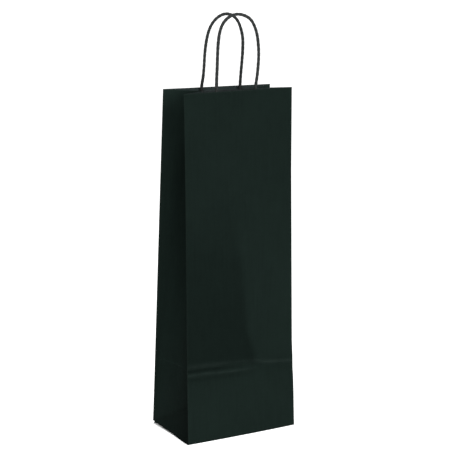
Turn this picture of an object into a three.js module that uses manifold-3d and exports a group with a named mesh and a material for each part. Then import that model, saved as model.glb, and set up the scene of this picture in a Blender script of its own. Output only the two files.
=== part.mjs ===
// A paper bag for one bottle of wine, with two twisted paper cord handles.
//
// The bag is one sheet of kraft paper, glued into a tube and folded: two wide panels, two
// pleated sides (gussets) and a block bottom. Each flat stretch of paper between two folds is
// a mesh of its own, because the folds are what the bag moves on. The mouth stands half
// closed: both panels lean in from the edges of the bottom, and each gusset folds inward.
//
// Millimetres, +Z up. The origin is the middle of the bottom, on the floor. The front panel
// faces -Y, and +X is to the right of somebody who looks at it.
import * as THREE from 'three';
import { mergeVertices } from 'three/addons/utils/BufferGeometryUtils.js';
import Module from 'manifold-3d';

// The bag's paper, flat
const WIDTH = 140;
const DEPTH = 85;
const HEIGHT = 390;
const CREASE = 78; // the all-round crease that the bag was packed flat on
const PAPER = 0.5;
const GAP = 0.3; // between two stretches of paper that meet at a fold

// How far the mouth is open, front to back
const MOUTH = 46.4;

// Gussets
const WING_HINGE = 0.6; // from a panel's inner face to the line that a wing folds on
const WING_CLEARANCE = 2.6; // a wing stops this short of the fold that it would share
const WING_FOOT = 36; // a wing is too narrow to be a stretch of its own below this height
const MIDDLE_CLEARANCE = 0.9;
const MIDDLE_TIP = 1.6; // width left at the top of a gusset's middle

// Block bottom: the flap that was folded last overlaps the one before it
const FLAP_OVERLAP = 9; // past the middle line
const FLAP_STEP = 4; // length of the slope where the inner flap climbs over the outer one
const TUCK_CLEARANCE = 0.6; // from the panels and the gusset that stand around it
const TUCK_REACH = 10; // past the point where the flaps' sloping ends meet
const TUCK_TIP = 26; // width at its inner end

// Glued seam that closes the sheet into a tube, inside the back panel
const SEAM_WIDTH = 13;
const SEAM_EDGE = 3.5; // from the corner of the bag
const SEAM_ENDS = 4;

// Handles: a cord with both ends glued between two strips of paper, inside the mouth
const CORD = 3.5;
const CORD_SIDES = 8;
const LEG_SPACING = 50;
const LEG_LENGTH = 30;
const STRIP_WIDTH = 88;
const STRIP_HEIGHT = 38;
const STRIP_TOP = 4; // below the edge of the mouth
const HUMP_HALF_WIDTH = 5; // of the cover strip where it passes over a leg
const HUMP_STEPS = 8;
const BEND_ABOVE_MOUTH = 2.2; // the cord bends just clear of the edge of the mouth
const FRONT_HANDLE_SHIFT = -2; // towards +X
const BACK_HANDLE_SHIFT = 2.4;
const LOOP_STEPS = 26;

// Each cord's route, from one leg to the other: towards +X, and up from the bend
const FRONT_LOOP = [
  [-25, 0], [-24.6, 12], [-23.8, 24], [-23.1, 38], [-22.2, 49], [-20.4, 60], [-16.8, 69],
  [-10.8, 75.6], [-3.4, 79.3], [4.2, 80.2], [12, 78.5], [19, 74.6], [24, 67.6], [27.6, 57.4],
  [29.3, 44], [29.3, 31], [27.6, 15], [25, 0],
];
const BACK_LOOP = [
  [-25, 0], [-23.6, 10], [-22.9, 22], [-22.6, 34], [-21.6, 46], [-19.3, 58], [-15.2, 67.4],
  [-9, 74.2], [-1.6, 78.1], [5.6, 78.7], [12, 76.4], [18, 71.3], [22.8, 62.3], [25.9, 51],
  [26.5, 38], [26.1, 25], [25.4, 12], [25, 0],
];

const halfWidth = WIDTH / 2;
const halfDepth = DEPTH / 2;
const lean = Math.asin((DEPTH - MOUTH) / 2 / HEIGHT);
const gussetTilt = Math.acos((1 - (halfDepth / HEIGHT) * Math.sin(lean)) / Math.cos(lean));
const wingFold = Math.acos(MOUTH / DEPTH);
const stripBackY = PAPER + GAP;
const cordY = stripBackY + PAPER + GAP + CORD / 2;

const wasm = await Module();
wasm.setup();

const paperMaterial = new THREE.MeshStandardMaterial({ color: 0x1c2523, roughness: 0.85, metalness: 0 });
const stripMaterial = new THREE.MeshStandardMaterial({ color: 0x20282a, roughness: 0.9, metalness: 0 });
const cordMaterial = new THREE.MeshStandardMaterial({ color: 0x26292a, roughness: 0.9, metalness: 0 });

// ---- Helpers ---------------------------------------------------------------------------

// A named piece, with a material of its own
function piece(name, geometry, material = paperMaterial) {
  const mesh = new THREE.Mesh(geometry, material.clone());
  mesh.name = name;
  return mesh;
}

function shapeOf(points) {
  return new THREE.Shape(points.map(([x, y]) => new THREE.Vector2(x, y)));
}

// A flat stretch of paper that stands on edge: an outline of (across, up), its outer face at y
function standingPaper(outline, y = 0) {
  const flat = new THREE.ExtrudeGeometry(shapeOf(outline), { depth: PAPER, bevelEnabled: false });
  return flat.rotateX(Math.PI / 2).translate(0, y + PAPER, 0);
}

// A stretch of paper that lies down: an outline of (x, y), its lower face at z
function lyingPaper(outline, z) {
  const flat = new THREE.ExtrudeGeometry(shapeOf(outline), { depth: PAPER, bevelEnabled: false });
  return flat.translate(0, 0, z);
}

function rectangle(x0, y0, x1, y1) {
  return [[x0, y0], [x1, y0], [x1, y1], [x0, y1]];
}

// A symmetric outline around the middle line, from (half width, height) at the foot to the top
function taper(footHalf, foot, topHalf, top) {
  return [[-footHalf, foot], [footHalf, foot], [topHalf, top], [-topHalf, top]];
}

function toManifold(geometry) {
  const bare = geometry.clone();
  bare.deleteAttribute('normal');
  bare.deleteAttribute('uv');
  const merged = mergeVertices(bare, 1e-4);
  return new wasm.Manifold(new wasm.Mesh({
    numProp: 3,
    vertProperties: Float32Array.from(merged.attributes.position.array),
    triVerts: Uint32Array.from(merged.index.array),
  }));
}

function fromManifold(solid) {
  const mesh = solid.getMesh();
  const geometry = new THREE.BufferGeometry();
  geometry.setAttribute('position', new THREE.BufferAttribute(mesh.vertProperties, 3));
  geometry.setIndex(new THREE.BufferAttribute(mesh.triVerts, 1));
  geometry.computeVertexNormals();
  return geometry;
}

// A group that carries what stands on one edge of the bottom: x runs along that edge, y into
// the bag and z up along the paper, which leans in by the given angle
function standOnEdge(turn, distance, angle, children) {
  const tilted = new THREE.Group();
  tilted.position.y = -distance;
  tilted.rotation.x = -angle;
  tilted.add(...children);
  const turned = new THREE.Group();
  turned.rotation.z = turn;
  turned.add(tilted);
  return turned;
}

// ---- Panels and gussets ----------------------------------------------------------------

function panelPaper(side) {
  const foot = PAPER + GAP;
  const lower = rectangle(-halfWidth, foot, halfWidth, CREASE - GAP / 2);
  const upper = rectangle(-halfWidth, CREASE + GAP / 2, halfWidth, HEIGHT);
  return [
    piece(`${side}_panel_lower`, standingPaper(lower)),
    piece(`${side}_panel_upper`, standingPaper(upper)),
  ];
}

// The slim triangle of gusset between a panel's side edge and the fold up to the mouth
function wing(name, toLeft) {
  const widthAt = (height) => (halfDepth * height) / HEIGHT - WING_CLEARANCE;
  const outline = [[0, WING_FOOT], [widthAt(WING_FOOT), WING_FOOT], [widthAt(HEIGHT), HEIGHT], [0, HEIGHT]];
  const mesh = piece(name, standingPaper(outline, -PAPER / 2));
  mesh.position.x = toLeft ? -halfWidth + PAPER / 2 : halfWidth - PAPER / 2;
  mesh.position.y = PAPER + WING_HINGE;
  mesh.rotation.z = toLeft ? Math.PI / 2 - wingFold : Math.PI / 2 + wingFold;
  return mesh;
}

// The long triangle in the middle of a gusset, which tilts in from the bottom edge
function gussetMiddle(side) {
  const halfAt = (height) => halfDepth * (1 - height / HEIGHT) - MIDDLE_CLEARANCE;
  const foot = PAPER + GAP;
  const below = CREASE - GAP / 2;
  const above = CREASE + GAP / 2;
  const tip = HEIGHT * (1 - (MIDDLE_CLEARANCE + MIDDLE_TIP / 2) / halfDepth);
  return [
    piece(`${side}_gusset_lower`, standingPaper(taper(halfAt(foot), foot, halfAt(below), below))),
    piece(`${side}_gusset_upper`, standingPaper(taper(halfAt(above), above, MIDDLE_TIP / 2, tip))),
  ];
}

function seamLap() {
  // seen from inside the back panel, the seam is next to the corner on the bag's +X side
  const outer = -(halfWidth - SEAM_EDGE);
  const outline = rectangle(outer, SEAM_ENDS, outer + SEAM_WIDTH, HEIGHT - SEAM_ENDS);
  return piece('back_seam_lap', standingPaper(outline, PAPER + GAP));
}

// ---- Block bottom ----------------------------------------------------------------------

// Half of the bottom, as an envelope has it: its short sides run in at 45 degrees
function flapOutline(reach) {
  return [
    [-halfWidth + GAP, -halfDepth],
    [halfWidth - GAP, -halfDepth],
    [halfWidth - GAP - halfDepth, 0],
    [halfWidth - GAP - halfDepth, reach],
    [-halfWidth + GAP + halfDepth, reach],
    [-halfWidth + GAP + halfDepth, 0],
  ];
}

function outerFlap() {
  return piece('base_flap_outer', lyingPaper(flapOutline(FLAP_OVERLAP), 0));
}

// The inner flap lies on the floor too, and climbs over the outer flap where they overlap
function innerFlap() {
  const raised = PAPER + GAP;
  const foot = FLAP_OVERLAP + GAP;
  const slope = foot + FLAP_STEP;
  const section = [
    [halfDepth, 0], [halfDepth, PAPER], [slope, PAPER], [foot, raised + PAPER],
    [-FLAP_OVERLAP, raised + PAPER], [-FLAP_OVERLAP, raised], [foot, raised], [slope, 0],
  ];
  const bent = new THREE.ExtrudeGeometry(shapeOf(section), { depth: WIDTH, bevelEnabled: false });
  bent.rotateX(Math.PI / 2).rotateZ(Math.PI / 2).translate(-halfWidth, 0, 0);
  const cutter = new THREE.ExtrudeGeometry(shapeOf(flapOutline(FLAP_OVERLAP)), {
    depth: 4 * PAPER, bevelEnabled: false,
  });
  cutter.rotateZ(Math.PI).translate(0, 0, -PAPER);
  return piece('base_flap_inner', fromManifold(toManifold(bent).intersect(toManifold(cutter))));
}

// The gusset's end, tucked in under both flaps before they were glued down
function tuck(side, sign) {
  const edge = sign * (halfWidth - PAPER - TUCK_CLEARANCE);
  const tip = sign * (halfWidth - halfDepth - TUCK_REACH);
  const half = halfDepth - PAPER - TUCK_CLEARANCE;
  const outline = [[edge, -half], [edge, half], [tip, TUCK_TIP / 2], [tip, -TUCK_TIP / 2]];
  const ordered = sign < 0 ? outline.slice().reverse() : outline;
  return piece(`base_tuck_${side}`, lyingPaper(ordered, 2 * (PAPER + GAP)));
}

// ---- Handles ---------------------------------------------------------------------------

function strips(side, shift) {
  const top = HEIGHT - STRIP_TOP;
  const foot = top - STRIP_HEIGHT;
  const backing = rectangle(shift - STRIP_WIDTH / 2, foot, shift + STRIP_WIDTH / 2, top);

  // the cover's section, seen from above: flat, with a hump over each leg of the cord
  const flatY = stripBackY + PAPER + GAP;
  const humpHeight = CORD + 2 * GAP;
  const inner = [[shift - STRIP_WIDTH / 2, flatY]];
  for (const leg of [shift - LEG_SPACING / 2, shift + LEG_SPACING / 2]) {
    for (let i = 0; i <= HUMP_STEPS; i++) {
      const t = (2 * i) / HUMP_STEPS - 1;
      inner.push([leg + t * HUMP_HALF_WIDTH, flatY + humpHeight * Math.cos((t * Math.PI) / 2) ** 2]);
    }
  }
  inner.push([shift + STRIP_WIDTH / 2, flatY]);
  const outer = inner.map(([x, y]) => [x, y + PAPER]).reverse();
  const cover = new THREE.ExtrudeGeometry(shapeOf([...inner, ...outer]), {
    depth: STRIP_HEIGHT, bevelEnabled: false,
  });
  cover.translate(0, 0, foot);
  return [
    piece(`${side}_strip_backing`, standingPaper(backing, stripBackY), stripMaterial),
    piece(`${side}_strip_cover`, cover, stripMaterial),
  ];
}

function cordSection() {
  const corners = [];
  for (let i = 0; i < CORD_SIDES; i++) {
    const angle = ((i + 0.5) * 2 * Math.PI) / CORD_SIDES;
    corners.push([(CORD / 2) * Math.cos(angle), (CORD / 2) * Math.sin(angle)]);
  }
  return shapeOf(corners);
}

// The ends of the cord that are glued between the strips
function legs(side, shift) {
  const top = HEIGHT + BEND_ABOVE_MOUTH - CORD / 2 - GAP;
  return [['left', -1], ['right', 1]].map(([end, sign]) => {
    const leg = new THREE.ExtrudeGeometry(cordSection(), { depth: LEG_LENGTH, bevelEnabled: false });
    leg.translate(shift + (sign * LEG_SPACING) / 2, cordY, top - LEG_LENGTH);
    return piece(`${side}_cord_leg_${end}`, leg, cordMaterial);
  });
}

// The loop stands in its panel's own plane, and bends on the line through its two ends. The back
// panel's own frame is turned half round, so its route is mirrored there and runs the other way
function loop(side, shift, outline, turned) {
  const points = outline.map(([x, up]) => new THREE.Vector3(turned ? -x : x, 0, up));
  const route = new THREE.CatmullRomCurve3(turned ? points.reverse() : points);
  const tube = new THREE.ExtrudeGeometry(cordSection(), {
    extrudePath: route, steps: LOOP_STEPS, bevelEnabled: false,
  });
  let solid = toManifold(tube);
  for (const end of [-LEG_SPACING / 2, LEG_SPACING / 2]) {
    const ball = new THREE.SphereGeometry(CORD / 2, CORD_SIDES, CORD_SIDES / 2);
    ball.rotateX(Math.PI / 2).translate(end, 0, 0);
    solid = solid.add(toManifold(ball));
  }
  const mesh = piece(`${side}_cord_loop`, fromManifold(solid), cordMaterial);
  mesh.position.set(shift, cordY, HEIGHT + BEND_ABOVE_MOUTH);
  return mesh;
}

// ---- The bag ---------------------------------------------------------------------------

const front = standOnEdge(0, halfDepth, lean, [
  ...panelPaper('front'),
  wing('left_gusset_front_wing', true),
  wing('right_gusset_front_wing', false),
  ...strips('front', FRONT_HANDLE_SHIFT),
  ...legs('front', FRONT_HANDLE_SHIFT),
  loop('front', FRONT_HANDLE_SHIFT, FRONT_LOOP, false),
]);

// the back is the front turned half round, so its own left is the bag's right
const back = standOnEdge(Math.PI, halfDepth, lean, [
  ...panelPaper('back'),
  wing('right_gusset_back_wing', true),
  wing('left_gusset_back_wing', false),
  seamLap(),
  ...strips('back', -BACK_HANDLE_SHIFT),
  ...legs('back', -BACK_HANDLE_SHIFT),
  loop('back', -BACK_HANDLE_SHIFT, BACK_LOOP, true),
]);

const left = standOnEdge(-Math.PI / 2, halfWidth, gussetTilt, gussetMiddle('left'));
const right = standOnEdge(Math.PI / 2, halfWidth, gussetTilt, gussetMiddle('right'));

const bag = new THREE.Group();
bag.add(outerFlap(), innerFlap(), tuck('left', -1), tuck('right', 1));
bag.add(front, back, left, right);

export default bag;
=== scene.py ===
"""A dark paper bag for one bottle of wine, with two twisted paper cord handles.

The paper is built as paper: two continuous folded sheets, a front half and a back half, that meet
in the centre creases of the pleated sides. Metres, +Z up, the front panel faces -Y.
"""
import math

import bpy
import numpy as np
from mathutils import Matrix, Vector


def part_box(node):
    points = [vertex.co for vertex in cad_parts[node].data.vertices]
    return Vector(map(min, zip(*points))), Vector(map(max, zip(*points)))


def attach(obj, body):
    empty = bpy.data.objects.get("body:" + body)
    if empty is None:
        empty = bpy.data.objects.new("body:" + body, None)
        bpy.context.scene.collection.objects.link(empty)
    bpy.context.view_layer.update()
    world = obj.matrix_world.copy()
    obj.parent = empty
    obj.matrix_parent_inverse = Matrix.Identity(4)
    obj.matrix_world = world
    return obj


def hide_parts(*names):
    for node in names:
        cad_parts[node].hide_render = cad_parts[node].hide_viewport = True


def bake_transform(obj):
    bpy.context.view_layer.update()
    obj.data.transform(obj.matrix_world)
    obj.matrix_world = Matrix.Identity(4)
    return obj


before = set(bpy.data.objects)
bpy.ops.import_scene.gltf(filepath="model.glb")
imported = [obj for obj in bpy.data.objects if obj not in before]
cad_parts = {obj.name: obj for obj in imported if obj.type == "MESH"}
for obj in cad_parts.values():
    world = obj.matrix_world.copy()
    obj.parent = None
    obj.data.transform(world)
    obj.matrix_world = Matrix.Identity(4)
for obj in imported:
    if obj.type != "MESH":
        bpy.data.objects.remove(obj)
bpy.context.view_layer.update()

MM = 0.001

# ---- Driving sizes ---------------------------------------------------------------------

CAD_PAPER = 0.5 * MM
HALF_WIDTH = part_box("front_panel_upper")[1].x
HALF_DEPTH = -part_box("base_flap_outer")[0].y
panel_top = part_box("front_panel_upper")[1]
LEAN_RUN = HALF_DEPTH + panel_top.y - CAD_PAPER
LEAN = math.atan2(LEAN_RUN, panel_top.z)
HEIGHT = math.hypot(LEAN_RUN, panel_top.z)
MOUTH_HALF = HALF_DEPTH - HEIGHT * math.sin(LEAN)
MOUTH_FOLD_DEPTH = math.sqrt(HALF_DEPTH**2 - MOUTH_HALF**2)  # of a pleat that folds nowhere else

PAPER = 0.3 * MM
CREASE = 78 * MM           # the all-round crease that the bag was packed flat on
FOOT_RADIUS = 0.5 * MM
EDGE_RADIUS = 0.55 * MM    # of the four upright folds
SOFT_RADIUS = 7 * MM       # of the soft bend that runs up each half of a pleated side

CORD = 3.5 * MM
CORD_DEPTH = 3.35 * MM     # of the cord's centre, inside the panel's outer face
LEG_HALF_SPACING = 25 * MM
LEG_FOOT = HEIGHT - 29.0 * MM
BEND = HEIGHT + 2.2 * MM   # where the cord bends, just clear of the edge of the mouth
STRIP_TOP = HEIGHT - 4 * MM
STRIP_HEIGHT = 38 * MM
STRIP_WIDTH = 88 * MM
HUMP_HALF_WIDTH = 5 * MM
SHIFT = {"front": -2 * MM, "back": 2.4 * MM}  # of each handle, towards +X

# Each cord's route between its two bends, in millimetres: towards +X, and up from the bend
LOOPS = {
    "front": [
        (-25, 0), (-24.6, 12), (-23.8, 24), (-23.1, 38), (-22.2, 49), (-20.4, 60), (-16.8, 69),
        (-10.8, 75.6), (-3.4, 79.3), (4.2, 80.2), (12, 78.5), (19, 74.6), (24, 67.6), (27.6, 57.4),
        (29.3, 44), (29.3, 31), (27.6, 15), (25, 0),
    ],
    "back": [
        (-25, 0), (-23.6, 10), (-22.9, 22), (-22.6, 34), (-21.6, 46), (-19.3, 58), (-15.2, 67.4),
        (-9, 74.2), (-1.6, 78.1), (5.6, 78.7), (12, 76.4), (18, 71.3), (22.8, 62.3), (25.9, 51),
        (26.5, 38), (26.1, 25), (25.4, 12), (25, 0),
    ],
}


# ---- Camera ----------------------------------------------------------------------------

CAMERA_PLACE = Vector((-0.8265, -1.3592, 0.5591))
CAMERA_TARGET = Vector((-0.0004, 0, 0.2342))
CAMERA_ROLL = math.radians(0.85)
CAMERA_LENS = 114.68
CAMERA_SENSOR = 36.0
CAMERA_RANGE = (0.05, 30)


def make_camera():
    data = bpy.data.cameras.new("camera")
    data.lens = CAMERA_LENS
    data.sensor_width = CAMERA_SENSOR
    data.clip_start, data.clip_end = CAMERA_RANGE
    camera = bpy.data.objects.new("camera", data)
    bpy.context.scene.collection.objects.link(camera)
    camera.rotation_mode = "QUATERNION"
    look = (CAMERA_TARGET - CAMERA_PLACE).to_track_quat("-Z", "Y").to_matrix()
    camera.rotation_quaternion = (look @ Matrix.Rotation(CAMERA_ROLL, 3, "Z")).to_quaternion()
    camera.location = CAMERA_PLACE
    bpy.context.scene.camera = camera


make_camera()


# ---- Helpers ---------------------------------------------------------------------------

WAVE_COUNT = 7             # sine waves in one irregular field
WAVE_PITCHES = (0.7, 1.5)  # the shortest and the longest of them, as shares of its wavelength
GRADING = 0.25             # how much a step grows for each metre away from a finely divided place
PAPER_SHARP = 50           # degrees between two faces that makes their edge a sharp one
CORD_SHARP = 80
TINY = 1e-12               # keeps the length of a normal off zero
INNER_PATTERN = [0, 0, 1]  # between the patterns on the two faces of a sheet


def smoothstep(low, high, value):
    t = np.clip((value - low) / (high - low), 0, 1)
    return t * t * (3 - 2 * t)


def waves(seed, across, along, wavelength):
    """A smooth irregular field between about -1 and 1, the same on every run."""
    rng = np.random.default_rng(seed)
    total = np.zeros(np.broadcast(across, along).shape)
    for _ in range(WAVE_COUNT):
        angle = rng.uniform(0, 2 * math.pi)
        pitch = wavelength * rng.uniform(*WAVE_PITCHES)
        phase = rng.uniform(0, 2 * math.pi)
        place = across * math.cos(angle) + along * math.sin(angle)
        total += np.sin(2 * math.pi * place / pitch + phase)
    return total / math.sqrt(WAVE_COUNT)


def wavy(layers, across, up):
    """Several fields of waves on top of each other."""
    total = 0
    for seed, depth, wavelength, squeeze in layers:
        total = total + depth * waves(seed, across * squeeze, up, wavelength)
    return total


def graded(low, high, coarse, spots):
    """Positions from low to high, a coarse step apart, and finer near each (place, reach, step)."""
    places = [low]
    while places[-1] < high:
        step = coarse
        for place, reach, fine in spots:
            away = max(0.0, abs(places[-1] - place) - reach)
            step = min(step, fine + GRADING * away)
        places.append(places[-1] + step)
    places = np.array(places)
    return low + (places - low) * (high - low) / (places[-1] - low)


def grid_normals(points):
    """The normal at each point of a grid (rows up, columns across), on the across x up side."""
    across = np.gradient(points, axis=1)
    up = np.gradient(points, axis=0)
    normal = np.cross(across, up)
    return normal / np.maximum(np.linalg.norm(normal, axis=2, keepdims=True), TINY)


def new_piece(name, vertices, faces, material, sharp_angle=PAPER_SHARP):
    mesh = bpy.data.meshes.new(name)
    mesh.from_pydata(np.asarray(vertices).tolist(), [], faces)
    mesh.polygons.foreach_set("use_smooth", [True] * len(mesh.polygons))
    mesh.set_sharp_from_angle(angle=math.radians(sharp_angle))
    mesh.materials.append(material)
    mesh.update()
    piece = bpy.data.objects.new(name, mesh)
    bpy.context.scene.collection.objects.link(piece)
    return piece


def store(piece, name, kind, values):
    field = "vector" if kind == "FLOAT_VECTOR" else "value"
    attribute = piece.data.attributes.new(name, kind, "POINT")
    attribute.data.foreach_set(field, np.asarray(values, np.float32).ravel())


def closed_sheet(name, outer, thickness, paper, wear_and_painted_light, material, painted_light=None):
    """A thin closed sheet from a grid of points on its outer face, with paper coordinates. The
    thickness is one number, or one for each column."""
    rows, columns = outer.shape[:2]
    painted_light = np.ones((rows, columns)) if painted_light is None else painted_light
    inner = outer - grid_normals(outer) * np.reshape(thickness, (1, -1, 1))
    shift = rows * columns
    index = np.arange(shift).reshape(rows, columns)
    back = index + shift
    a, b, c, d = index[:-1, :-1], index[:-1, 1:], index[1:, 1:], index[1:, :-1]
    faces = np.stack([a, b, c, d], axis=-1).reshape(-1, 4)
    inner_faces = (np.stack([a, d, c, b], axis=-1) + shift).reshape(-1, 4)
    rims = [
        np.stack([index[0, 1:], index[0, :-1], back[0, :-1], back[0, 1:]], axis=-1),
        np.stack([index[-1, :-1], index[-1, 1:], back[-1, 1:], back[-1, :-1]], axis=-1),
        np.stack([index[:-1, 0], index[1:, 0], back[1:, 0], back[:-1, 0]], axis=-1),
        np.stack([index[1:, -1], index[:-1, -1], back[:-1, -1], back[1:, -1]], axis=-1),
    ]
    every = np.concatenate([faces, inner_faces, *rims]).tolist()
    vertices = np.concatenate([outer.reshape(-1, 3), inner.reshape(-1, 3)])
    piece = new_piece(name, vertices, every, material)
    both = np.concatenate([paper.reshape(-1, 3), paper.reshape(-1, 3) + INNER_PATTERN])
    store(piece, "paper", "FLOAT_VECTOR", both)
    store(piece, "wear_and_painted_light", "FLOAT", np.concatenate([wear_and_painted_light.ravel(), wear_and_painted_light.ravel()]))
    # the light and shade painted into the colour
    store(piece, "painted_light", "FLOAT", np.concatenate([painted_light.ravel(), painted_light.ravel()]))
    store(piece, "inside", "FLOAT", np.concatenate([np.zeros(painted_light.size), np.ones(painted_light.size)]))
    return piece


# ---- Materials -------------------------------------------------------------------------

MIX_FIRST, MIX_SECOND, MIX_RESULT = 6, 7, 2  # the colour sockets of a Mix node

BAG_COLOUR = (0.0048, 0.0084, 0.0071)
BAG_INSIDE_LIT = (0.0305, 0.0405, 0.0405)  # the inner face is painted paler, for the light that falls in at the mouth
# the colour of worn paper, also used for the painted highlights along the front's creases
BAG_WEAR_AND_HIGHLIGHT = (0.0135, 0.0195, 0.0175)
STRIP_COLOUR = (0.022, 0.027, 0.0275)
STRIP_WEAR = (0.036, 0.042, 0.042)
CORD_COLOUR = (0.0138, 0.016, 0.0156)

PAPER_SPECULAR = 0.005
CORD_SPECULAR = 0.15
PAPER_ROUGHNESS = (0.62, 0.8)
CORD_ROUGHNESS = (0.6, 0.82)
BUMP_STRENGTH = 0.8

# Each pattern in the paper: how much it is drawn out up the paper, scale, detail, roughness
PAPER_PATTERNS = {
    "clouds": (1.0, 22.0, 3.0, 0.5),
    "blotches": (0.6, 120.0, 4.0, 0.5),
    "fibres": (0.12, 1700.0, 3.0, 0.6),
    "grain": (1.0, 4200.0, 2.0, 0.5),
    "streaks": (0.05, 420.0, 3.0, 0.6),
    "wobble": (0.2, 90.0, 2.0, 0.5),
}
# The patterns that colour it: from where to where they count, how strongly, and how light
PAPER_LAYERS = [
    ("blotches", 0.35, 0.75, 0.25, 1.35),
    ("streaks", 0.35, 0.7, 0.5, 1.3),
    ("fibres", 0.55, 0.8, 0.45, 1.9),
    ("ribs", -1.0, 1.0, 0.18, 0.6),
]
CLOUD_SHARES = (0.92, 1.08)    # the paper's darkest and lightest broad areas
NOISE_SPAN = (0.3, 0.7)        # where most values of a noise lie
LIT_INSIDE_SHARES = (0.7, 1.0)     # how much of the inner face's painted paler colour shows, in its streaks
BROKEN_SPAN = (0.3, 0.6)       # of the blotches that break up the worn places and the painted highlights
BROKEN_SHARES = (0.55, 1.0)
RIB_WOBBLE = 4 * MM
FIBRE_DEPTH = 0.05 * MM
GRAIN_DEPTH = 0.02 * MM
BAG_RIBS = (1.05 * MM, 0.03 * MM)    # from rib to rib, and their depth
STRIP_RIBS = (1.3 * MM, 0.025 * MM)

STRAND_SHARES = (0.55, 1.5)    # painted shade in a cord's grooves, and painted highlight on the crests of its wrinkles
CORD_WRINKLES = (0.16, 2600.0, 4.0, 0.6)  # as in PAPER_PATTERNS
CORD_CLOUDS = (1.0, 160.0, 3.0, 0.5)
CROWN_SPAN = (0.1, 0.9)
CREST_SPAN, CREST_STRENGTH = (0.5, 0.75), 0.5
DULL_SPAN, DULL_STRENGTH = (0.35, 0.7), 0.3
CORD_BUMP = 0.12 * MM


def tinted(colour, share):
    return (*[c * share for c in colour], 1)


class Nodes:
    """A small helper that adds and links the nodes of one material."""

    def __init__(self, name):
        self.material = bpy.data.materials.new(name)
        self.material.use_nodes = True
        self.tree = self.material.node_tree
        self.shader = self.tree.nodes["Principled BSDF"]

    def add(self, kind, inputs=None, **settings):
        node = self.tree.nodes.new(kind)
        for key, value in settings.items():
            setattr(node, key, value)
        for key, value in (inputs or {}).items():
            self.give(node.inputs[key], value)
        return node

    def give(self, socket, value):
        if isinstance(value, bpy.types.NodeSocket):
            self.tree.links.new(value, socket)
        else:
            socket.default_value = value

    def math(self, operation, *values):
        node = self.add("ShaderNodeMath", operation=operation)
        for socket, value in zip(node.inputs, values):
            self.give(socket, value)
        return node.outputs[0]

    def attribute(self, name, output):
        return self.add("ShaderNodeAttribute", attribute_name=name).outputs[output]

    def noise(self, vector, along, scale, detail, roughness):
        """Noise that is drawn out along the second direction, the more the smaller along is."""
        stretched = self.add("ShaderNodeVectorMath", operation="MULTIPLY")
        self.give(stretched.inputs[0], vector)
        self.give(stretched.inputs[1], (1.0, along, 1.0))
        inputs = {"Vector": stretched.outputs[0], "Scale": scale, "Detail": detail}
        inputs["Roughness"] = roughness
        return self.add("ShaderNodeTexNoise", inputs).outputs["Fac"]

    def scaled(self, colour, share):
        node = self.add("ShaderNodeVectorMath", operation="SCALE")
        self.give(node.inputs[0], colour)
        self.give(node.inputs["Scale"], share)
        return node.outputs[0]

    def span(self, value, low, high, out_low, out_high):
        inputs = {"Value": value, "From Min": low, "From Max": high}
        inputs.update({"To Min": out_low, "To Max": out_high})
        return self.add("ShaderNodeMapRange", inputs).outputs["Result"]

    def mix(self, share, first, second):
        node = self.add("ShaderNodeMix", data_type="RGBA")
        self.give(node.inputs["Factor"], share)
        self.give(node.inputs[MIX_FIRST], first)
        self.give(node.inputs[MIX_SECOND], second)
        return node.outputs[MIX_RESULT]

    def bump(self, height, distance):
        inputs = {"Strength": BUMP_STRENGTH, "Distance": distance, "Height": height}
        node = self.add("ShaderNodeBump", inputs)
        self.give(self.shader.inputs["Normal"], node.outputs["Normal"])


def kraft(name, colour, inside_lit_colour, wear_and_highlight_colour, rib_pitch, rib_depth, measured=True):
    """Ribbed kraft paper, dyed dark: ribs and fibres run up the paper, and folds are worn lighter,
    with painted highlights along the front's creases. The inner face is painted paler for the light
    that falls in at the mouth. A measured sheet carries its own coordinates, wear and highlights, and
    the light and shade painted into its colour; any other is seen from inside."""
    n = Nodes(name)
    if measured:
        paper = n.attribute("paper", "Vector")
        wear_and_painted_light = n.attribute("wear_and_painted_light", "Fac")
        painted_light = n.attribute("painted_light", "Fac")
        inside = n.attribute("inside", "Fac")
    else:
        paper = n.add("ShaderNodeTexCoord").outputs["Object"]
        wear_and_painted_light, painted_light, inside = 0.0, 1.0, 1.0
    pattern = {key: n.noise(paper, *values) for key, values in PAPER_PATTERNS.items()}
    wobble = n.math("MULTIPLY", pattern["wobble"], RIB_WOBBLE)
    across = n.math("ADD", n.add("ShaderNodeSeparateXYZ", {"Vector": paper}).outputs["X"], wobble)
    ribs = n.math("SINE", n.math("MULTIPLY", across, 2 * math.pi / rib_pitch))
    pattern["ribs"] = ribs

    dark, light = [tinted(colour, share) for share in CLOUD_SHARES]
    base = n.mix(n.span(pattern["clouds"], *NOISE_SPAN, 0.0, 1.0), dark, light)
    for key, low, high, strength, share in PAPER_LAYERS:
        base = n.mix(n.span(pattern[key], low, high, 0.0, strength), base, tinted(colour, share))
    streaks = n.span(pattern["streaks"], *NOISE_SPAN, *LIT_INSIDE_SHARES)
    # painted light: the inner face is paler for the light that falls in at the mouth
    lit_inside = n.math("MULTIPLY", inside, streaks)
    base = n.mix(lit_inside, base, (*inside_lit_colour, 1))
    blotches = n.span(pattern["blotches"], *BROKEN_SPAN, *BROKEN_SHARES)
    broken = n.math("MULTIPLY", wear_and_painted_light, blotches)
    base = n.mix(broken, base, (*wear_and_highlight_colour, 1))
    # painted light and shade scale the paper's colour
    n.give(n.shader.inputs["Base Color"], n.scaled(base, painted_light))
    roughness = n.span(pattern["fibres"], *NOISE_SPAN, *PAPER_ROUGHNESS)
    n.give(n.shader.inputs["Roughness"], roughness)
    n.shader.inputs["Specular IOR Level"].default_value = PAPER_SPECULAR
    height = n.math("MULTIPLY", ribs, rib_depth)
    height = n.math("ADD", height, n.math("MULTIPLY", pattern["fibres"], FIBRE_DEPTH))
    height = n.math("ADD", height, n.math("MULTIPLY", pattern["grain"], GRAIN_DEPTH))
    n.bump(height, 1.0)
    return n.material


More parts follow.
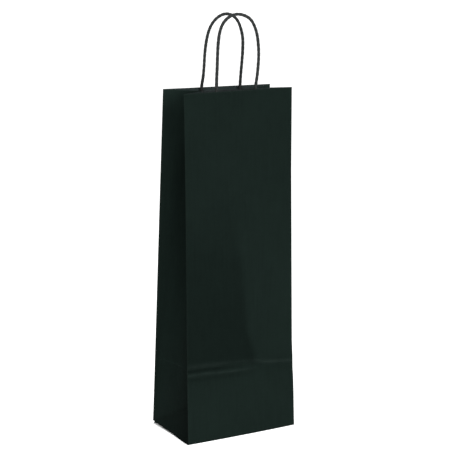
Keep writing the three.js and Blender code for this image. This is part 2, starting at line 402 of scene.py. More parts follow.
def cord_paper(name, colour):
    """Twisted paper cord: wrinkled strands that wind round, with painted shade in the grooves between
    them, so a little paler on their crowns, and painted highlights on the crests of their wrinkles.
    """
    n = Nodes(name)
    strand = n.attribute("strand", "Vector")
    crown = n.attribute("wear_and_painted_light", "Fac")
    wrinkles = n.noise(strand, *CORD_WRINKLES)
    clouds = n.noise(strand, *CORD_CLOUDS)
    dark, light = [tinted(colour, share) for share in STRAND_SHARES]
    # painted shade in the grooves, and painted highlights on the wrinkles' crests
    base = n.mix(n.span(crown, *CROWN_SPAN, 0.0, 1.0), dark, (*colour, 1))
    base = n.mix(n.span(wrinkles, *CREST_SPAN, 0.0, CREST_STRENGTH), base, light)
    base = n.mix(n.span(clouds, *DULL_SPAN, 0.0, DULL_STRENGTH), base, dark)
    n.give(n.shader.inputs["Base Color"], base)
    n.give(n.shader.inputs["Roughness"], n.span(wrinkles, *NOISE_SPAN, *CORD_ROUGHNESS))
    n.shader.inputs["Specular IOR Level"].default_value = CORD_SPECULAR
    n.bump(wrinkles, CORD_BUMP)
    return n.material


bag_paper = kraft("bag_paper", BAG_COLOUR, BAG_INSIDE_LIT, BAG_WEAR_AND_HIGHLIGHT, *BAG_RIBS)
strip_paper = kraft("strip_paper", STRIP_COLOUR, STRIP_COLOUR, STRIP_WEAR, *STRIP_RIBS)
tuck_paper = kraft("tuck_paper", BAG_COLOUR, BAG_INSIDE_LIT, BAG_WEAR_AND_HIGHLIGHT, *BAG_RIBS, measured=False)
cord_material = cord_paper("cord_paper", CORD_COLOUR)


# ---- Places on a leaning panel ---------------------------------------------------------

def on_panel(side, across, depth, up):
    """World points from a panel's own measures: world X, depth into the bag, height up the paper.
    The back panel is the front one, mirrored in the middle plane."""
    across, depth, up = np.broadcast_arrays(across, depth, up)
    sign = 1 if side == "front" else -1
    y = -HALF_DEPTH + depth * math.cos(LEAN) + up * math.sin(LEAN)
    z = up * math.cos(LEAN) - depth * math.sin(LEAN)
    return np.stack([across, sign * y, z], axis=-1)


# ---- Handles ---------------------------------------------------------------------------

CORD_ROUND = 32                    # points round a cord
CORD_STEP = 0.55 * MM              # from ring to ring along it
CORD_SEED = {"front": 31, "back": 47}
LEG_SHARES = (0, 0.25, 0.5, 0.75)  # places of the knots of a route on a leg, up to its bend
ROUTE_STEPS = 24                   # from one knot of a route to the next
STRANDS = 2
TWIST_PITCH = 11 * MM
TWIST_WANDER = (0.35, 60 * MM)     # radians, and the wavelength
THICK_SHARE = (0.03, 25 * MM)      # how much the thickness varies, and the wavelength
GROOVE = 0.3 * MM
CROWN_POWER = 0.55                 # how flat the strands' crowns are, against their grooves
CREASES_ROUND = 7
CREASE_DEPTH = 0.035 * MM
CREASE_ROOM = 0.16 * MM            # from one crease to the next, for each radian
CREASE_LENGTH = 2.2 * MM
FINE_SHARE = 0.6                   # of the finer creases, against the others
FINE_TURN = 900                    # radians that the finer creases turn in a metre
BLEND_LOW = HEIGHT - 1.5 * MM      # where the bend at the mouth's edge starts and ends
BLEND_HIGH = BEND + 4.5 * MM


def cord_route(side):
    """The centreline as a dense list of points: up one glued end, round the loop, down the other."""
    shift = SHIFT[side]
    legs = [LEG_FOOT + share * (BEND - LEG_FOOT) for share in LEG_SHARES]
    knots = [(-LEG_HALF_SPACING, up) for up in legs]
    knots += [(x * MM, BEND + up * MM) for x, up in LOOPS[side]]
    knots += [(LEG_HALF_SPACING, up) for up in reversed(legs)]
    knots = np.array(knots)
    before = np.vstack([2 * knots[0] - knots[1], knots[:-1]])
    after = np.vstack([knots[1:], 2 * knots[-1] - knots[-2]])
    tangent = (after - before) / 2
    t = np.linspace(0, 1, ROUTE_STEPS, endpoint=False)[:, None]
    pieces = []
    for i in range(len(knots) - 1):
        p, q, m, n = knots[i], knots[i + 1], tangent[i], tangent[i + 1]
        curve = (2 * t**3 - 3 * t**2 + 1) * p + (t**3 - 2 * t**2 + t) * m
        curve += (3 * t**2 - 2 * t**3) * q + (t**3 - t**2) * n
        pieces.append(curve)
    flat = np.vstack([*pieces, knots[-1:]])
    length = np.concatenate([[0], np.cumsum(np.linalg.norm(np.diff(flat, axis=0), axis=1))])
    even = np.arange(0, length[-1], CORD_STEP)
    even = even * length[-1] / even[-1]
    x = np.interp(even, length, flat[:, 0])
    up = np.interp(even, length, flat[:, 1])
    return on_panel(side, x + shift, CORD_DEPTH, up), even


def cord_radius(seed, phase, along):
    """The radius at each point of a cord, and how near it is to a strand's crown."""
    crown = np.abs(np.sin(phase * STRANDS / 2)) ** CROWN_POWER
    place = along[:, None] + 0 * phase
    creases = waves(seed + 1, CREASES_ROUND * phase * CREASE_ROOM, place, CREASE_LENGTH)
    creases += FINE_SHARE * np.sin(CREASES_ROUND * 2 * phase + FINE_TURN * along[:, None])
    share, wavelength = THICK_SHARE
    thick = 1 + share * waves(seed + 2, along, 0 * along, wavelength)
    radius = CORD / 2 * thick[:, None] - GROOVE * (1 - crown) + CREASE_DEPTH * creases
    return radius, crown


def make_cord(side):
    points, along = cord_route(side)
    tangent = np.gradient(points, axis=0)
    tangent /= np.linalg.norm(tangent, axis=1, keepdims=True)
    square = on_panel(side, 0, 1, 0) - on_panel(side, 0, 0, 0)
    other = np.cross(tangent, square)
    angle = np.arange(CORD_ROUND) * 2 * math.pi / CORD_ROUND
    seed = CORD_SEED[side]
    wander, wavelength = TWIST_WANDER
    turn = 2 * math.pi * along / TWIST_PITCH + wander * waves(seed, along, 0 * along, wavelength)
    phase = angle[None, :] - turn[:, None]
    radius, crown = cord_radius(seed, phase, along)
    ring = np.cos(angle)[None, :, None] * other[:, None, :] + np.sin(angle)[None, :, None] * square
    skin = points[:, None, :] + radius[..., None] * ring
    count = len(points)
    index = np.arange(count * CORD_ROUND).reshape(count, CORD_ROUND)
    step = np.roll(index, -1, axis=1)
    quads = np.stack([index[:-1], step[:-1], step[1:], index[1:]], axis=-1).reshape(-1, 4)
    vertices = np.vstack([skin.reshape(-1, 3), points[:1], points[-1:]])
    first, last = count * CORD_ROUND, count * CORD_ROUND + 1
    faces = quads.tolist()
    for i in range(CORD_ROUND):
        j = (i + 1) % CORD_ROUND
        faces.append([int(index[0, j]), int(index[0, i]), first])
        faces.append([int(index[-1, i]), int(index[-1, j]), last])
    piece = new_piece(f"{side}_handle_cord", vertices, faces, cord_material, CORD_SHARP)
    coordinates = np.stack([phase * CORD / 2, along[:, None] + 0 * phase, 0 * phase], axis=-1)
    ends = np.zeros((2, 3))
    store(piece, "strand", "FLOAT_VECTOR", np.vstack([coordinates.reshape(-1, 3), ends]))
    store(piece, "wear_and_painted_light", "FLOAT", np.concatenate([crown.ravel(), [0, 0]]))
    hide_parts(f"{side}_cord_loop", f"{side}_cord_leg_left", f"{side}_cord_leg_right")
    start = Vector(on_panel(side, 0, CORD_DEPTH, BLEND_LOW))
    end = Vector(on_panel(side, 0, CORD_DEPTH, BLEND_HIGH))
    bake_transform(piece)
    exit_point = on_panel(side, SHIFT[side] - LEG_HALF_SPACING, CORD_DEPTH, STRIP_TOP)
    return piece


for side in ("front", "back"):
    make_cord(side)


# ---- The folded paper: its folds -------------------------------------------------------

PLANE_TOP = 50 * MM        # below this height a pleat is still one plane
FOLD_POWER = 0.8           # how fast it folds to its full depth above that height
PATH_SAMPLES = 2400        # along the section at one height
PATH_MARGIN = 8 * MM       # of the samples, past the centre crease
PANEL_MARGIN = 1.15        # of the samples, past the middle of the panel
KNOT_MARGIN = 1.2
BEND_SHARE = 0.9           # of the way to the next fold that a bend may take up
RISE_SAMPLES = 400


def gusset_section(up):
    """The half section of a pleated side at each height: the corner, the soft bend and the centre
    crease, as (depth from the side's plane, distance from the middle plane), and the bend's place."""
    corner_y = HALF_DEPTH - up * math.sin(LEAN)
    plane = MOUTH_FOLD_DEPTH * up / HEIGHT
    deepest = np.sqrt(np.maximum(HALF_DEPTH**2 - corner_y**2, 0))
    share = np.clip((up - PLANE_TOP) / (HEIGHT - PLANE_TOP), 0, 1) ** FOLD_POWER
    depth = plane + share * (deepest - plane)
    wing = HALF_DEPTH * up / HEIGHT
    middle = HALF_DEPTH - wing
    chord = np.hypot(corner_y, depth)
    along = (chord**2 + wing**2 - middle**2) / (2 * chord)
    aside = np.sqrt(np.maximum(wing**2 - along**2, 0))
    bend_x = (depth * along + corner_y * aside) / chord
    bend_y = corner_y - (corner_y * along - depth * aside) / chord
    return corner_y, depth, bend_x, bend_y, wing


def half_path(up, places):
    """Points of the folded sheet's section at one height: places are distances along the paper
    from the corner, positive down the pleat and negative along the panel. Each fold is rounded
    by taking the mean over a stretch of the sharp section."""
    corner_y, depth, bend_x, bend_y, wing = (float(v[0]) for v in gusset_section(np.array([up])))
    knots_at = [-HALF_WIDTH * KNOT_MARGIN, 0, wing, HALF_DEPTH, 2 * HALF_DEPTH - wing]
    knots_x = [HALF_WIDTH * KNOT_MARGIN, 0, bend_x, depth, bend_x]
    knots_y = [corner_y, corner_y, bend_y, 0, -bend_y]
    fine = np.linspace(-HALF_WIDTH * PANEL_MARGIN, HALF_DEPTH + PATH_MARGIN, PATH_SAMPLES)
    from_corner = BEND_SHARE * np.abs(places)
    from_crease = BEND_SHARE * np.abs(places - HALF_DEPTH)
    radius = np.minimum(np.minimum(SOFT_RADIUS, from_corner), from_crease)
    radius = np.maximum(radius, EDGE_RADIUS)
    between = (fine[1:] + fine[:-1]) / 2
    means = []
    for knots in (knots_x, knots_y):
        area = np.concatenate([[0], np.cumsum(np.interp(between, knots_at, knots))])
        area *= fine[1] - fine[0]
        whole = np.interp(places + radius, fine, area) - np.interp(places - radius, fine, area)
        means.append(whole / (2 * radius))
    return means


def crease_heights(up):
    """World height of the centre crease, whose paper tilts in further than the panels do."""
    fine = np.linspace(0, HEIGHT, RISE_SAMPLES)
    depth = gusset_section(fine)[1]
    slope = np.gradient(depth, fine)
    rise = np.concatenate([[0], np.cumsum(np.sqrt(1 - ((slope[1:] + slope[:-1]) / 2) ** 2))])
    return np.interp(up, fine, rise * (fine[1] - fine[0]))


# ---- The folded paper: its surface -----------------------------------------------------

# Waves in the paper: seed, depth, wavelength, and how much shorter they are across the paper
FRONT_WAVES = [
    (3, 0.25 * MM, 90 * MM, 1.0), (4, 0.06 * MM, 17 * MM, 1.0), (5, 0.03 * MM, 9 * MM, 2.2),
]
BACK_WAVES = [
    (13, 0.3 * MM, 100 * MM, 1.0), (14, 0.06 * MM, 19 * MM, 1.0), (15, 0.03 * MM, 9 * MM, 2.2),
]

# The paper pulls in towards the packing crease and flares out again below it
PULL_REACH = (3 * MM, 75 * MM)  # above the crease: where it is deepest, and where it starts
PULL_FOOT = -5 * MM
FRONT_PULL, BACK_PULL = 2.2 * MM, 1.6 * MM

# Lines along the front's packing crease, in millimetres: towards +X, and up the paper
LOWER_CREASE = [(-71, 78.3), (-44, 77.8), (-18, 75.8), (9, 74.8), (30, 75)]
UPPER_CREASE = [
    (-71, 88.4), (-46, 87.2), (0, 85.4), (19, 83.5), (30, 81), (45, 79.6), (71, 77.4),
]
CREASE_VALLEY = [(-71, 83.2), (-46, 82.2), (0, 80), (30, 78)]
UNDER_CREASE = [(-71, 73.5), (-18, 71.2), (30, 70)]
LINE_WANDER = (8, 0.25 * MM, 26 * MM)  # seed, how far the lines waver, and the wavelength
# the paler wear along the two ridges is partly a painted highlight
LOWER_WIDTH, LOWER_SPREAD, LOWER_HEIGHT, LOWER_WEAR_AND_HIGHLIGHT = 1.5 * MM, 0.5 * MM, 0.9 * MM, 0.3
UPPER_WIDTH, UPPER_SPREAD, UPPER_HEIGHT, UPPER_WEAR_AND_HIGHLIGHT = 2.0 * MM, 0.7 * MM, 1.0 * MM, 0.35
# VALLEY_SHADE and UNDER_SHADE paint shade into the colour along the crease's valley and under the
# lower ridge
VALLEY_WIDTH, VALLEY_DEPTH, VALLEY_SHADE = 1.3 * MM, 0.8 * MM, 0.25
UNDER_WIDTH, UNDER_SHADE = 2.6 * MM, 0.14

# Where they fade and change, as shares of the front's width from the left
LOWER_FADES, VALLEY_FADES = (0.45, 0.7), (0.25, 0.6)
SPREAD_FADES = (0.05, 0.5)
UPPER_WEAKENS, UPPER_RECOVERS, UPPER_WEAKNESS = (0.25, 0.45), (0.6, 0.7), 0.6

# The soft valley that runs up the front from the place where its two ridges meet
DIAGONAL = [(70, 21), (93, 17), (120, 7), (200, 0), (320, -28)]  # height and X, in millimetres
DIAGONAL_STARTS = (74 * MM, 84 * MM)
DIAGONAL_FADES = (110 * MM, 230 * MM)
# DIAGONAL_SHADE paints shade into the colour along the soft valley
DIAGONAL_WIDTH, DIAGONAL_DEPTH, DIAGONAL_SHADE = 5 * MM, 0.7 * MM, 0.12
PATCH_EDGE = (-6 * MM, 10 * MM)        # of the patch of painted shade to the left of it
PATCH_STARTS, PATCH_FADES = (CREASE, CREASE + 12 * MM), (150 * MM, 300 * MM)
# painted shade on the patch, and painted light beside it and below the crease
PAINTED_FOOT_LIGHT = (CREASE + 5 * MM, CREASE - 20 * MM)
PATCH_SHADE, BESIDE_PATCH, BELOW_CREASE = 0.24, 0.08, 0.1

# Folds on the pleated sides
SIDE_CREASE_RISE = 6 * MM              # of the packing crease, from the back edge to the front
SIDE_CREASE = (1.4 * MM, 0.6 * MM, 0.15)     # width, height, how much paler its painted highlight is
DIAGONAL_RISE = 50 * MM                # of the fold from the tucked-in bottom
SIDE_DIAGONAL = (2 * MM, 0.5 * MM)           # width, height
BELOW_DIAGONAL, DIAGONAL_EDGE = 0.2, 3 * MM  # how much darker the painted shade below it is

# Painted light and shade down a pleat: the painted shade is darkest where the pleat is deepest
DEEPEST_FOOT, DEEPEST_RUN = 0.05, 0.45       # where that is, from the front edge to the back one
DEEPEST_PAINTED_SHADE = 0.47                            # of the deepest paper
PLEAT_RANGE, PLEAT_POWER = 0.72, 0.75        # how much paler the painted light makes the rear edge, and how soon
MOUTH_PAINTED_LIGHT = 0.4                             # how much paler the painted light makes the mouth's edge
MOUTH_LIGHT_STARTS, MOUTH_LIGHT_ENDS = HEIGHT - 30 * MM, HEIGHT - 8 * MM
POCKET_STARTS = (120 * MM, 190 * MM)         # the darkest stretch of painted shade, up the paper
POCKET_ENDS = (290 * MM, 350 * MM)
POCKET_SIDES = (0.62, 0.88)                  # where it ends, from the deepest paper to the rear
POCKET_SHADE = 0.24

BACK_CREASE = (1.6 * MM, 0.75 * MM, 0.3)     # width, height, wear


def ridge(distance, width):
    """A fold's profile: a narrow crown that falls away to both sides."""
    return np.exp(-np.abs(distance) / width)


def fold_line(across, up, points, width):
    """A rounded ridge along a slightly wavering line of (across, up) points in millimetres."""
    line = np.interp(across, [x * MM for x, _ in points], [y * MM for _, y in points])
    seed, wander, wavelength = LINE_WANDER
    line = line + wander * waves(seed, across, 0 * across, wavelength)
    return np.exp(-((up - line) / width) ** 2)


def pulled_in(across, up):
    """How far the paper has pulled in towards the packing crease, from 0 to 1."""
    deepest, start = PULL_REACH
    above = smoothstep(CREASE + start, CREASE + deepest, up) * smoothstep(PULL_FOOT, CREASE, up)
    return above * (1 - np.clip(np.abs(across) / HALF_WIDTH, 0, 1) ** 3)


def front_shape(across, up, pleats):
    """How far the paper stands out from its flat folds, how worn it is (partly painted highlight),
    and the light and shade painted into its colour.
    """
    panel = 1 - pleats
    share = np.clip((across + HALF_WIDTH) / (2 * HALF_WIDTH), 0, 1)
    out = wavy(FRONT_WAVES, across, up) - FRONT_PULL * pulled_in(across, up) * panel

    # the crease is two soft ridges: the lower one fades to the right, where the upper one takes over
    left_part = 1 - smoothstep(*LOWER_FADES, share)
    spread = 1 - smoothstep(*SPREAD_FADES, share)
    weak_part = smoothstep(*UPPER_WEAKENS, share) * (1 - smoothstep(*UPPER_RECOVERS, share))
    lower = fold_line(across, up, LOWER_CREASE, LOWER_WIDTH + LOWER_SPREAD * spread) * left_part
    under = fold_line(across, up, UNDER_CREASE, UNDER_WIDTH) * left_part * panel
    upper = fold_line(across, up, UPPER_CREASE, UPPER_WIDTH + UPPER_SPREAD * spread)
    upper = upper * (1 - UPPER_WEAKNESS * weak_part)
    valley = fold_line(across, up, CREASE_VALLEY, VALLEY_WIDTH)
    valley = valley * (1 - smoothstep(*VALLEY_FADES, share))
    lower, upper, valley = lower * panel, upper * panel, valley * panel
    out = out + LOWER_HEIGHT * lower + UPPER_HEIGHT * upper - VALLEY_DEPTH * valley

    # a soft valley runs up the panel from the place where the two ridges meet
    heights, xs = np.array(DIAGONAL, float).T
    middle = np.interp(up / MM, heights, xs) * MM
    fades = smoothstep(*DIAGONAL_STARTS, up) * (1 - smoothstep(*DIAGONAL_FADES, up))
    diagonal = ridge(across - middle, DIAGONAL_WIDTH) * fades * panel
    out = out - DIAGONAL_DEPTH * diagonal

    # painted shade makes the paper darker to its left, and painted light a little paler to its right
    # and below the crease
    rises = smoothstep(*PATCH_STARTS, up) * (1 - smoothstep(*PATCH_FADES, up))
    left_of_it = 1 - smoothstep(*PATCH_EDGE, across - middle)
    painted_light = 1 - (PATCH_SHADE * left_of_it - BESIDE_PATCH * (1 - left_of_it)) * rises * panel
    painted_light = painted_light * (1 + BELOW_CREASE * smoothstep(*PAINTED_FOOT_LIGHT, up) * panel)
    # painted shade along the diagonal valley, the crease's valley and under the lower ridge
    painted_light = painted_light * (1 - DIAGONAL_SHADE * diagonal)
    painted_light = painted_light * (1 - VALLEY_SHADE * valley) * (1 - UNDER_SHADE * under)

    from_front = np.clip((np.abs(across) - HALF_WIDTH) / (2 * HALF_DEPTH), 0, 1)
    out, painted_light = side_folds(out, painted_light, from_front, up, pleats)
    return out, LOWER_WEAR_AND_HIGHLIGHT * lower + UPPER_WEAR_AND_HIGHLIGHT * upper, painted_light


def back_shape(across, up, pleats):
    """The same for the back, which has one straight packing crease."""
    panel = 1 - pleats
    width, height, wear_and_painted_light = BACK_CREASE
    crease = ridge(up - CREASE, width) * panel
    out = wavy(BACK_WAVES, across, up) - BACK_PULL * pulled_in(across, up) * panel
    out = out + height * crease
    from_back = np.clip((np.abs(across) - HALF_WIDTH) / (2 * HALF_DEPTH), 0, 1)
    out, painted_light = side_folds(out, 1 + 0 * out, 1 - from_back, up, pleats)
    return out, wear_and_painted_light * crease, painted_light


def side_folds(out, painted_light, from_front, up, pleats):
    """The packing crease and the diagonal of the tucked-in bottom, on a pleated side, and the light
    and shade painted into its paper's colour."""
    width, height, paler = SIDE_CREASE
    crease = ridge(up - CREASE - SIDE_CREASE_RISE * (1 - from_front), width) * pleats
    painted_light = painted_light * (1 + paler * crease)
    out = out + height * crease
    width, height = SIDE_DIAGONAL
    corner = DIAGONAL_RISE * (1 - from_front)
    out = out + height * ridge(up - corner, width) * pleats
    below = smoothstep(corner + DIAGONAL_EDGE, corner - DIAGONAL_EDGE, up) * pleats
    painted_light = painted_light * (1 - BELOW_DIAGONAL * below)

    # painted shade, darkest deep in the pleat and in a pocket up its middle; painted light towards
    # its rear edge and the mouth
    deepest = DEEPEST_FOOT + DEEPEST_RUN * up / HEIGHT
    open_side = np.clip((from_front - deepest) / (1 - deepest), 0, 1) ** PLEAT_POWER
    near_mouth = smoothstep(MOUTH_LIGHT_STARTS, MOUTH_LIGHT_ENDS, up)
    pale = DEEPEST_PAINTED_SHADE + PLEAT_RANGE * open_side + MOUTH_PAINTED_LIGHT * near_mouth
    pocket = smoothstep(*POCKET_STARTS, up) * (1 - smoothstep(*POCKET_ENDS, up))
    pale = pale * (1 - POCKET_SHADE * pocket * (1 - smoothstep(*POCKET_SIDES, open_side)))
    return out, painted_light * (1 + (pale - 1) * pleats)


# ---- The folded paper: the two half sheets ---------------------------------------------

ROWS = graded(FOOT_RADIUS, HEIGHT, 2.6 * MM, [
    (0, 2 * MM, 0.5 * MM), (CREASE + 3 * MM, 8 * MM, 0.45 * MM), (HEIGHT, 0, 0.5 * MM),
])
PLEAT_PLACES = graded(0, HALF_DEPTH, 1.5 * MM, [
    (0, 1 * MM, 0.14 * MM), (HALF_DEPTH, 0.8 * MM, 0.14 * MM),
])
PANEL_PLACES = graded(0, HALF_WIDTH, 2.2 * MM, [(0, 1 * MM, 0.14 * MM)])
FOOT_ROWS = 5
FOOT_CLEARANCE = 0.07 * MM       # of the rolled foot, so that its inner face clears the floor

# How far each front corner has shifted towards +X, at heights up the paper, in millimetres
HEIGHTS = [0, 38, 58, 68, 84, 100, 200, 300, 350, 390]
LEFT_SHIFT = [-1.5, -1.5, -1.4, -1.4, -1.4, -1.2, -0.65, 0, 0, 0]
RIGHT_SHIFT = [0.5, 0, -0.5, -1.2, -1.35, -2, -2, -2, -1.3, -0.8]
SHIFTED_FROM = 0.9                       # share of the pleat from which they shift in full
TOP_LOW, TOP_HIGH = -0.9 * MM, 1.0 * MM  # the front's cut edge is not quite level
TOP_STARTS = 300 * MM
CORNER_LIFT = 3.0 * MM                   # the far left corner stands off the floor a little
CORNER_LIFT_TOP = 40 * MM
LIFT_AT_CREASE = 0.35                    # the share of that lift where the two halves meet
LIFT_END = -0.6                          # y where it ends on the front half, in half depths
LIFT_POWER = 3                           # how fast it fades along the back
FOOT_BULGE = 1.2 * MM                    # the front's foot bows out in the middle
FOOT_BULGE_TOP = 60 * MM

PLEAT_EDGE = 1.2 * MM            # from a panel's edge to where the paper counts as pleat
SHARED_REACH = 9 * MM            # from the centre crease, to where each half is shaped alone
FOLD_REACH = 4 * MM              # from an upright fold, to where the paper's shape is in full
FOOT_REACH = 8 * MM
EDGE_WEAR, EDGE_WEAR_WIDTH = 0.26, 0.8 * MM
LOW_EDGE_WEAR = 1.3              # how much more worn the edges are near the foot
LOW_EDGE = (240 * MM, 60 * MM)
MOUTH_WEAR, MOUTH_WEAR_WIDTH = 0.5, 0.5 * MM
FOOT_WEAR = 0.5
FOLD_PINCH, THINNEST = 0.25, 0.012 * MM  # the folds are so tight that the paper is pressed thin
BACK_PATTERN = [0.6, 0, 0]       # from the front half's pattern to the back half's


def settled(side, points, up):
    """The small ways in which a real bag is not square. Each half is shaped as if it were the
    front one, so on the back half the far left corner of the bag is at +X here."""
    x, y, z = points[..., 0], points[..., 1], points[..., 2]
    share = np.clip((x + HALF_WIDTH) / (2 * HALF_WIDTH), 0, 1)
    if side == "front":
        left = np.interp(up / MM, HEIGHTS, LEFT_SHIFT) * MM
        right = np.interp(up / MM, HEIGHTS, RIGHT_SHIFT) * MM
        near = smoothstep(0, SHIFTED_FROM, np.abs(y) / (HALF_DEPTH - up * math.sin(LEAN)))
        x = x + (left + (right - left) * share) * near
        z = z + (TOP_LOW + (TOP_HIGH - TOP_LOW) * share) * smoothstep(TOP_STARTS, HEIGHT, up)
        y = y - FOOT_BULGE * 4 * share * (1 - share) * near * smoothstep(FOOT_BULGE_TOP, 0, up)
        reach = LIFT_AT_CREASE * smoothstep(LIFT_END, 0.0, y / HALF_DEPTH) * (1 - share)
    else:
        to_corner = smoothstep(0.0, 1.0, -y / HALF_DEPTH)
        reach = LIFT_AT_CREASE + (1 - LIFT_AT_CREASE) * to_corner
        reach = reach * share ** LIFT_POWER
    z = z + CORNER_LIFT * reach * (1 - smoothstep(0, CORNER_LIFT_TOP, up))
    return np.stack([x, y, z], axis=-1)


def flat_folds():
    """The half sheet with its folds and nothing else, and each column's place on the paper."""
    places = np.concatenate([PLEAT_PLACES[::-1], -PANEL_PLACES[1:]])
    half_x = np.empty((len(ROWS), len(places)))
    half_y = np.empty_like(half_x)
    for i, up in enumerate(ROWS):
        half_x[i], half_y[i] = half_path(up, places)
    in_pleat = np.clip(places / HALF_DEPTH, 0, 1)
    panel_z = ROWS * math.cos(LEAN)
    half_z = panel_z[:, None] + (crease_heights(ROWS) - panel_z)[:, None] * in_pleat[None, :]
    x = np.concatenate([-HALF_WIDTH + half_x, (HALF_WIDTH - half_x)[:, -2::-1]], axis=1)
    y = -np.concatenate([half_y, half_y[:, -2::-1]], axis=1)
    z = np.concatenate([half_z, half_z[:, -2::-1]], axis=1)
    paper_across = np.concatenate([-HALF_WIDTH - places, (HALF_WIDTH + places)[-2::-1]])
    return np.stack([x, y, z], axis=-1), paper_across


def rolled_foot(outer):
    """Rows that roll the foot under on a small radius, down to the floor."""
    flat = grid_normals(outer)[0] * [1, 1, 0]
    flat /= np.linalg.norm(flat, axis=1, keepdims=True)
    feet = []
    for i in range(FOOT_ROWS):
        angle = math.pi / 2 * (1 - i / FOOT_ROWS)
        foot = outer[0] - flat * FOOT_RADIUS * (1 - math.cos(angle))
        foot[:, 2] -= FOOT_RADIUS * math.sin(angle) - FOOT_CLEARANCE
        feet.append(foot)
    return np.array(feet)


def with_foot(values, first):
    """Values for the rows of the sheet, with first repeated for the rows of its foot."""
    return np.concatenate([np.repeat(first, FOOT_ROWS, axis=0), values])


def folded_half(side, shape):
    """One half of the bag: centre crease, pleat, corner, panel, corner, pleat, centre crease."""
    outer, paper_across = flat_folds()
    across, up = np.meshgrid(paper_across, ROWS)
    pleats = smoothstep(-PLEAT_EDGE, 0, np.abs(paper_across) - HALF_WIDTH)
    from_crease = HALF_WIDTH + HALF_DEPTH - np.abs(paper_across)
    from_fold = np.abs(np.abs(paper_across) - HALF_WIDTH)
    out, wear_and_painted_light, painted_light = shape(across, up, pleats[None, :])

    # both halves stand out alike at the centre creases, and not at all at folds and at the foot
    shared = smoothstep(0, SHARED_REACH, from_crease)[None, :]
    common = side_folds(0.0, 1.0, 0.5, ROWS, 1.0)[0][:, None]
    out = common + (out - common) * shared
    out = out * smoothstep(0, FOOT_REACH, ROWS)[:, None]
    out = out * smoothstep(0, FOLD_REACH, from_fold)[None, :]

    edge_wear = EDGE_WEAR * ridge(from_fold, EDGE_WEAR_WIDTH)[None, :]
    wear_and_painted_light = np.maximum(wear_and_painted_light, edge_wear * (1 + LOW_EDGE_WEAR * smoothstep(*LOW_EDGE, up)))
    wear_and_painted_light = np.maximum(wear_and_painted_light, MOUTH_WEAR * ridge(HEIGHT - ROWS, MOUTH_WEAR_WIDTH)[:, None])
    wear_and_painted_light = np.clip(wear_and_painted_light, 0, 1)

    outer = outer + grid_normals(outer) * out[..., None]
    outer = settled(side, outer, up)
    outer = np.concatenate([rolled_foot(outer), outer])
    paper = np.stack([across, up, 0 * across], axis=-1)
    paper = with_foot(paper, paper[:1])
    wear_and_painted_light = with_foot(wear_and_painted_light, np.full_like(wear_and_painted_light[:1], FOOT_WEAR))
    painted_light = with_foot(painted_light, painted_light[:1])
    if side == "back":
        outer = outer * [-1, -1, 1]
        paper = paper + BACK_PATTERN
    thickness = np.clip(FOLD_PINCH * from_fold, THINNEST, PAPER)
    piece = closed_sheet(f"{side}_half", outer, thickness, paper, wear_and_painted_light, bag_paper, painted_light)
    return piece


def bend_with_panel(piece):
    """Bakes the sheet's placement into its mesh."""
    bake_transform(piece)


front_half = folded_half("front", front_shape)
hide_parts("front_panel_lower", "front_panel_upper", "left_gusset_front_wing",
            "right_gusset_front_wing", "left_gusset_lower", "left_gusset_upper")
bend_with_panel(front_half)

back_half = folded_half("back", back_shape)
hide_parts("back_panel_lower", "back_panel_upper", "left_gusset_back_wing",
            "right_gusset_back_wing", "right_gusset_lower", "right_gusset_upper")
bend_with_panel(back_half)


# ---- What is glued inside --------------------------------------------------------------

RIM_WEAR, RIM_WIDTH = 0.7, 0.4 * MM      # of a cut edge
RIPPLE_LENGTH = 16 * MM
BACKING_DEPTH, BACKING_RIPPLE = 0.85 * MM, 0.12 * MM
COVER_DEPTH, COVER_RIPPLE = 1.7 * MM, 0.2 * MM
HUMP_RISE = 3.75 * MM                    # of the cover strip where it passes over a leg
STRIP_SEED = {"front": 61, "back": 71}
STRIP_ROW, STRIP_COLUMN = 1.5 * MM, 1.6 * MM    # steps of its mesh, and finer ones
EDGE_ROW, HUMP_COLUMN = 0.4 * MM, 0.35 * MM


def panel_sheet(name, side, across, up, depth, material, seed, ripple):
    """A sheet glued to a panel's inner face, a little rippled by the glue."""
    a, u = np.meshgrid(across, up)
    depth = depth + ripple * (1 + waves(seed, a, u, RIPPLE_LENGTH)) / 2
    outer = on_panel(side, a, depth, u)
    rim = np.minimum(np.minimum(a - across[0], across[-1] - a), np.minimum(u - up[0], up[-1] - u))
    if side == "back":
        outer = outer[:, ::-1]
        rim = rim[:, ::-1]
    paper = np.stack([a, u, 0 * a + seed], axis=-1)
    wear_and_painted_light = RIM_WEAR * ridge(rim, RIM_WIDTH)
    piece = closed_sheet(name, outer, -PAPER, paper, wear_and_painted_light, material)
    piece.data.flip_normals()
    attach(piece, f"{side}_panel")
    return piece


def make_strips(side):
    """The strip on the panel, and the one over it that holds the cord's ends down."""
    seed = STRIP_SEED[side]
    middle = SHIFT[side]
    left, right = middle - STRIP_WIDTH / 2, middle + STRIP_WIDTH / 2
    legs = [middle - LEG_HALF_SPACING, middle + LEG_HALF_SPACING]
    foot = STRIP_TOP - STRIP_HEIGHT
    up = graded(foot, STRIP_TOP, STRIP_ROW, [(STRIP_TOP, 1 * MM, EDGE_ROW)])
    humps = [(leg, HUMP_HALF_WIDTH, HUMP_COLUMN) for leg in legs]
    across = graded(left, right, STRIP_COLUMN, humps)
    backing = panel_sheet(f"{side}_strip_inner", side, across, up, BACKING_DEPTH, strip_paper,
                          seed, BACKING_RIPPLE)
    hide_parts(f"{side}_strip_backing")
    hump = 0
    for leg in legs:
        from_leg = np.clip((across - leg) / HUMP_HALF_WIDTH, -1, 1)
        hump = hump + np.cos(from_leg * math.pi / 2) ** 2
    depth = (COVER_DEPTH + HUMP_RISE * hump)[None, :]
    cover = panel_sheet(f"{side}_strip_outer", side, across, up, depth, strip_paper,
                        seed + 1, COVER_RIPPLE)
    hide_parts(f"{side}_strip_cover")


make_strips("front")
make_strips("back")


